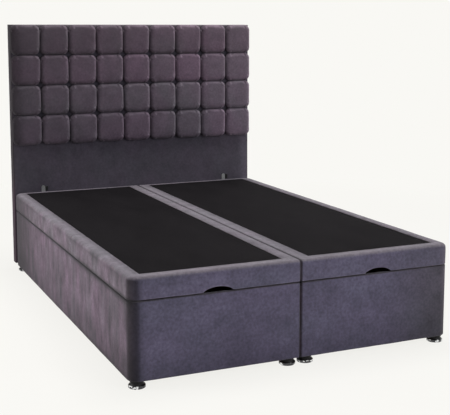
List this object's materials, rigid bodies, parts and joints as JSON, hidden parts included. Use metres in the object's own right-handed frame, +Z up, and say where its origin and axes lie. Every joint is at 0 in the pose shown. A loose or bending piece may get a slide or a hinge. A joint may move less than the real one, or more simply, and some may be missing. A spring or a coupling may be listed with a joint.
{
  "type": "divan bed",
  "caption": "Double divan bed in two storage halves whose lids lift at the foot end on gas struts, with a tall headboard of crowned cube pads.",
  "frame": {"origin": "on the floor under the middle of the whole bed, headboard included", "axes": "+X across the bed to the right as seen from the foot end, +Y towards the headboard, +Z up"},
  "size_m": [1.35, 1.961, 1.28],
  "materials": {
    "velvet": "short-pile upholstery velvet, soft sheen",
    "black_cloth": "black non-slip platform cloth, matt",
    "lining_cloth": "dark non-woven lining, matt",
    "timber": "planed softwood, unfinished",
    "hardboard": "brown hardboard, smooth face",
    "plated_steel": "bright zinc-plated steel",
    "painted_steel": "black paint, satin",
    "chrome": "polished chrome",
    "black_plastic": "moulded black plastic, satin",
    "rubber": "black rubber, matt"
  },
  "bodies": {
    "base": {"box_side_boards_left": "timber", "box_end_boards_left": "timber", "box_corner_posts_left": "timber", "box_floor_battens_left": "timber", "box_floor_panel_left": "hardboard", "box_cover_left": "velvet", "base_brackets_left": "plated_steel", "bracket_pins_left": "plated_steel", "box_side_boards_right": "timber", "box_end_boards_right": "timber", "box_corner_posts_right": "timber", "box_floor_battens_right": "timber", "box_floor_panel_right": "hardboard", "box_cover_right": "velvet", "base_brackets_right": "plated_steel", "bracket_pins_right": "plated_steel", "glide_hubs": "black_plastic", "glide_rings": "chrome", "lid_buffers": "rubber", "bracket_screws": "plated_steel", "link_bars": "plated_steel", "link_screws": "plated_steel", "headboard_cover": "velvet", "headboard_panel": "hardboard", "headboard_rails": "timber", "headboard_uprights": "timber", "headboard_lining": "lining_cloth", "headboard_cubes": "velvet", "headboard_straps": "plated_steel", "strap_spacers": "black_plastic", "strap_knobs": "black_plastic"},
    "lid_left": {"lid_side_rails_left": "timber", "lid_end_rails_left": "timber", "lid_corner_posts_left": "timber", "lid_battens_left": "timber", "lid_board_left": "hardboard", "lid_cover_left": "velvet", "lid_cloth_left": "black_cloth", "lid_plates_left": "plated_steel", "lid_pins_left": "plated_steel", "lid_plate_screws_left": "plated_steel"},
    "front_arms_left": {"front_arms_left": "painted_steel"},
    "rear_arms_left": {"rear_arms_left": "painted_steel"},
    "gas_cylinders_left": {"gas_cylinders_left": "painted_steel"},
    "gas_rods_left": {"gas_rods_left": "chrome"},
    "lid_right": {"lid_side_rails_right": "timber", "lid_end_rails_right": "timber", "lid_corner_posts_right": "timber", "lid_battens_right": "timber", "lid_board_right": "hardboard", "lid_cover_right": "velvet", "lid_cloth_right": "black_cloth", "lid_plates_right": "plated_steel", "lid_pins_right": "plated_steel", "lid_plate_screws_right": "plated_steel"},
    "front_arms_right": {"front_arms_right": "painted_steel"},
    "rear_arms_right": {"rear_arms_right": "painted_steel"},
    "gas_cylinders_right": {"gas_cylinders_right": "painted_steel"},
    "gas_rods_right": {"gas_rods_right": "chrome"}
  },
  "joints": [
    {"name": "left_front_arms_lift", "type": "hinge", "parent": "base", "child": "front_arms_left", "pos_m": [-0.338, 0.3395, 0.262], "axis": [1, 0, 0], "range_deg": [0, 18.58]},
    {"name": "left_lid_tilt", "type": "hinge", "parent": "front_arms_left", "child": "lid_left", "pos_m": [-0.338, 0.7555, 0.369], "axis": [-1, 0, 0], "range_deg": [0, 48.6]},
    {"name": "left_rear_arms_swing", "type": "hinge", "parent": "base", "child": "rear_arms_left", "pos_m": [-0.338, 0.6515, 0.287], "axis": [1, 0, 0], "range_deg": [0, 29.7]},
    {"name": "left_cylinders_swing", "type": "hinge", "parent": "base", "child": "gas_cylinders_left", "pos_m": [-0.338, 0.5835, 0.087], "axis": [1, 0, 0], "range_deg": [0, 9.4]},
    {"name": "left_rods_slide", "type": "slide", "parent": "gas_cylinders_left", "child": "gas_rods_left", "axis": [0, 0.1856, 0.9826], "range_m": [0, 0.0856]},
    {"name": "right_front_arms_lift", "type": "hinge", "parent": "base", "child": "front_arms_right", "pos_m": [0.338, 0.3395, 0.262], "axis": [1, 0, 0], "range_deg": [0, 18.58]},
    {"name": "right_lid_tilt", "type": "hinge", "parent": "front_arms_right", "child": "lid_right", "pos_m": [0.338, 0.7555, 0.369], "axis": [-1, 0, 0], "range_deg": [0, 48.6]},
    {"name": "right_rear_arms_swing", "type": "hinge", "parent": "base", "child": "rear_arms_right", "pos_m": [0.338, 0.6515, 0.287], "axis": [1, 0, 0], "range_deg": [0, 29.7]},
    {"name": "right_cylinders_swing", "type": "hinge", "parent": "base", "child": "gas_cylinders_right", "pos_m": [0.338, 0.5835, 0.087], "axis": [1, 0, 0], "range_deg": [0, 9.4]},
    {"name": "right_rods_slide", "type": "slide", "parent": "gas_cylinders_right", "child": "gas_rods_right", "axis": [0, 0.1856, 0.9826], "range_m": [0, 0.0856]}
  ],
  "couplings": [
    {"joint": "left_lid_tilt", "follows": "left_front_arms_lift", "ratio": 2.6146},
    {"joint": "left_rear_arms_swing", "follows": "left_front_arms_lift", "ratio": 1.5956},
    {"joint": "left_cylinders_swing", "follows": "left_front_arms_lift", "ratio": 0.50148},
    {"joint": "left_rods_slide", "follows": "left_front_arms_lift", "m_per_rad": 0.26282},
    {"joint": "right_lid_tilt", "follows": "right_front_arms_lift", "ratio": 2.6146},
    {"joint": "right_rear_arms_swing", "follows": "right_front_arms_lift", "ratio": 1.5956},
    {"joint": "right_cylinders_swing", "follows": "right_front_arms_lift", "ratio": 0.50148},
    {"joint": "right_rods_slide", "follows": "right_front_arms_lift", "m_per_rad": 0.26282}
  ]
}
